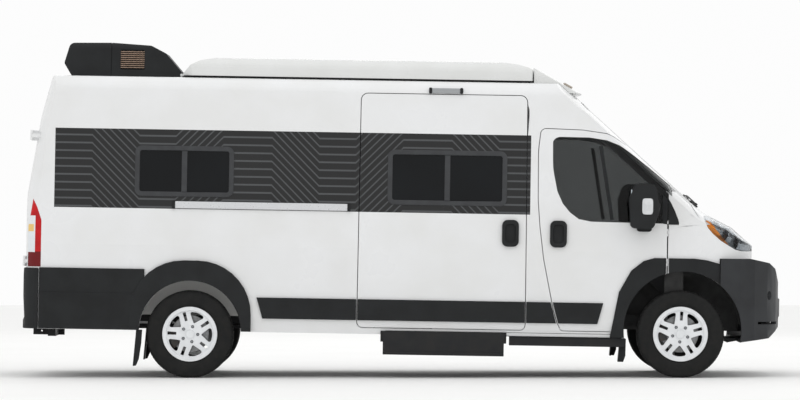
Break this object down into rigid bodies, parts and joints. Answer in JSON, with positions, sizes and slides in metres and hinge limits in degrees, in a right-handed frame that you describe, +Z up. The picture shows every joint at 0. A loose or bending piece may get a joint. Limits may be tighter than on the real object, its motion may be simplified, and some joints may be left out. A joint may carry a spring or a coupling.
{
  "type": "camper van",
  "caption": "Panel van camper with raising roof, roof air conditioner, sliding side door, opening cab and rear doors, hood and steerable road wheels.",
  "frame": {"origin": "middle of the overall box, on the ground under the tyres", "axes": "+X forwards to the nose, +Y to the left, +Z up"},
  "size_m": [6.2852, 2.5, 2.7772],
  "materials": {
    "white_paint": "glossy",
    "white_fibreglass": "glossy",
    "black_plastic": "textured",
    "grey_plastic": "textured",
    "rubber": "matte",
    "dark_glass": "polished",
    "clear_glass": "polished",
    "frame_metal": "satin",
    "lamp_clear": "polished",
    "lamp_amber": "polished",
    "lamp_red": "polished",
    "silver_rail": "satin",
    "dark_metal": "satin",
    "cast_metal": "rough",
    "tank_plastic": "matte",
    "seat_fabric": "woven",
    "wheel_grip": "soft",
    "tyre": "matte",
    "silver_alloy": "satin"
  },
  "bodies": {
    "body": {"floor": "dark_metal", "side_right": "white_paint", "side_left": "white_paint", "roof": "white_paint", "roof_seal": "rubber", "roof_cap": "white_paint", "front_end": "white_paint", "cowl": "black_plastic", "sliding_door": "white_paint", "windshield": "clear_glass", "window_frames": "frame_metal", "window_panes": "dark_glass", "bumper_front": "grey_plastic", "bumper_rear": "black_plastic", "cladding_right": "black_plastic", "cladding_left": "black_plastic", "headlamps": "lamp_clear", "tail_lamps": "lamp_red", "roof_lamps": "lamp_amber", "air_conditioner": "black_plastic", "entry_step": "dark_metal", "door_rail": "silver_rail", "liners": "rubber", "chassis": "dark_metal", "hitch": "dark_metal", "rear_axle": "dark_metal", "engine": "cast_metal", "exhaust": "cast_metal", "tanks": "tank_plastic", "dashboard": "grey_plastic", "seats": "seat_fabric"},
    "hood": {"hood": "white_paint"},
    "pop_top": {"pop_top": "white_fibreglass"},
    "door_right": {"door_right": "white_paint", "door_glass_right": "dark_glass", "door_trim_right": "black_plastic", "mirror_right": "black_plastic"},
    "door_left": {"door_left": "white_paint", "door_glass_left": "dark_glass", "door_trim_left": "black_plastic", "mirror_left": "black_plastic"},
    "rear_door_right": {"rear_door_right": "white_paint", "rear_glass_right": "dark_glass"},
    "rear_door_left": {"rear_door_left": "white_paint", "rear_glass_left": "dark_glass"},
    "steering_wheel": {"steering_wheel": "wheel_grip"},
    "knuckle_right": {"knuckle_right": "cast_metal"},
    "knuckle_left": {"knuckle_left": "cast_metal"},
    "wheel_front_right": {"tyre_front_right": "tyre", "rim_front_right": "silver_alloy"},
    "wheel_front_left": {"tyre_front_left": "tyre", "rim_front_left": "silver_alloy"},
    "wheel_rear_right": {"tyre_rear_right": "tyre", "rim_rear_right": "silver_alloy"},
    "wheel_rear_left": {"tyre_rear_left": "tyre", "rim_rear_left": "silver_alloy"}
  },
  "joints": [
    {"name": "steer_right", "type": "hinge", "parent": "body", "child": "knuckle_right", "pos_m": [2.2685, -0.79, 0.21], "axis": [0, 0.2079, 0.9781], "range_deg": [-34, 34]},
    {"name": "steer_left", "type": "hinge", "parent": "body", "child": "knuckle_left", "pos_m": [2.2685, 0.79, 0.21], "axis": [0, -0.2079, 0.9781], "range_deg": [-34, 34]},
    {"name": "spin_front_right", "type": "hinge", "parent": "knuckle_right", "child": "wheel_front_right", "pos_m": [2.2685, -0.905, 0.36], "axis": [0, 1, 0], "continuous": true},
    {"name": "spin_rear_right", "type": "hinge", "parent": "body", "child": "wheel_rear_right", "pos_m": [-1.7665, -0.905, 0.36], "axis": [0, 1, 0], "continuous": true},
    {"name": "spin_front_left", "type": "hinge", "parent": "knuckle_left", "child": "wheel_front_left", "pos_m": [2.2685, 0.905, 0.36], "axis": [0, 1, 0], "continuous": true},
    {"name": "spin_rear_left", "type": "hinge", "parent": "body", "child": "wheel_rear_left", "pos_m": [-1.7665, 0.905, 0.36], "axis": [0, 1, 0], "continuous": true},
    {"name": "steering_wheel_turn", "type": "hinge", "parent": "body", "child": "steering_wheel", "pos_m": [1.84253, 0.46, 1.20962], "axis": [-0.63, 0, 0.7766], "range_deg": [-510, 510]},
    {"name": "door_right_swing", "type": "hinge", "parent": "body", "child": "door_right", "pos_m": [2.16126, -1.019, 0.9493], "axis": [0.0166, 0.0356, 0.9992], "range_deg": [0, 68]},
    {"name": "door_left_swing", "type": "hinge", "parent": "body", "child": "door_left", "pos_m": [2.16126, 1.019, 0.9493], "axis": [-0.0166, 0.0356, -0.9992], "range_deg": [0, 68]},
    {"name": "rear_door_right_swing", "type": "hinge", "parent": "body", "child": "rear_door_right", "pos_m": [-3.13214, -0.958, 0.95206], "axis": [0.0566, 0.0504, 0.9971], "range_deg": [0, 165]},
    {"name": "rear_door_left_swing", "type": "hinge", "parent": "body", "child": "rear_door_left", "pos_m": [-3.13214, 0.958, 0.95206], "axis": [-0.0566, 0.0504, -0.9971], "range_deg": [0, 165]},
    {"name": "hood_lift", "type": "hinge", "parent": "body", "child": "hood", "pos_m": [2.44118, 0, 1.36446], "axis": [0, -1, 0], "range_deg": [0, 50]},
    {"name": "pop_top_lift", "type": "hinge", "parent": "body", "child": "pop_top", "pos_m": [-1.84903, 0, 2.5], "axis": [0, -1, 0], "range_deg": [0, 24]}
  ],
  "couplings": [
    {"joint": "steer_right", "follows": "steer_left", "ratio": 1},
    {"joint": "steering_wheel_turn", "follows": "steer_left", "ratio": 15}
  ]
}
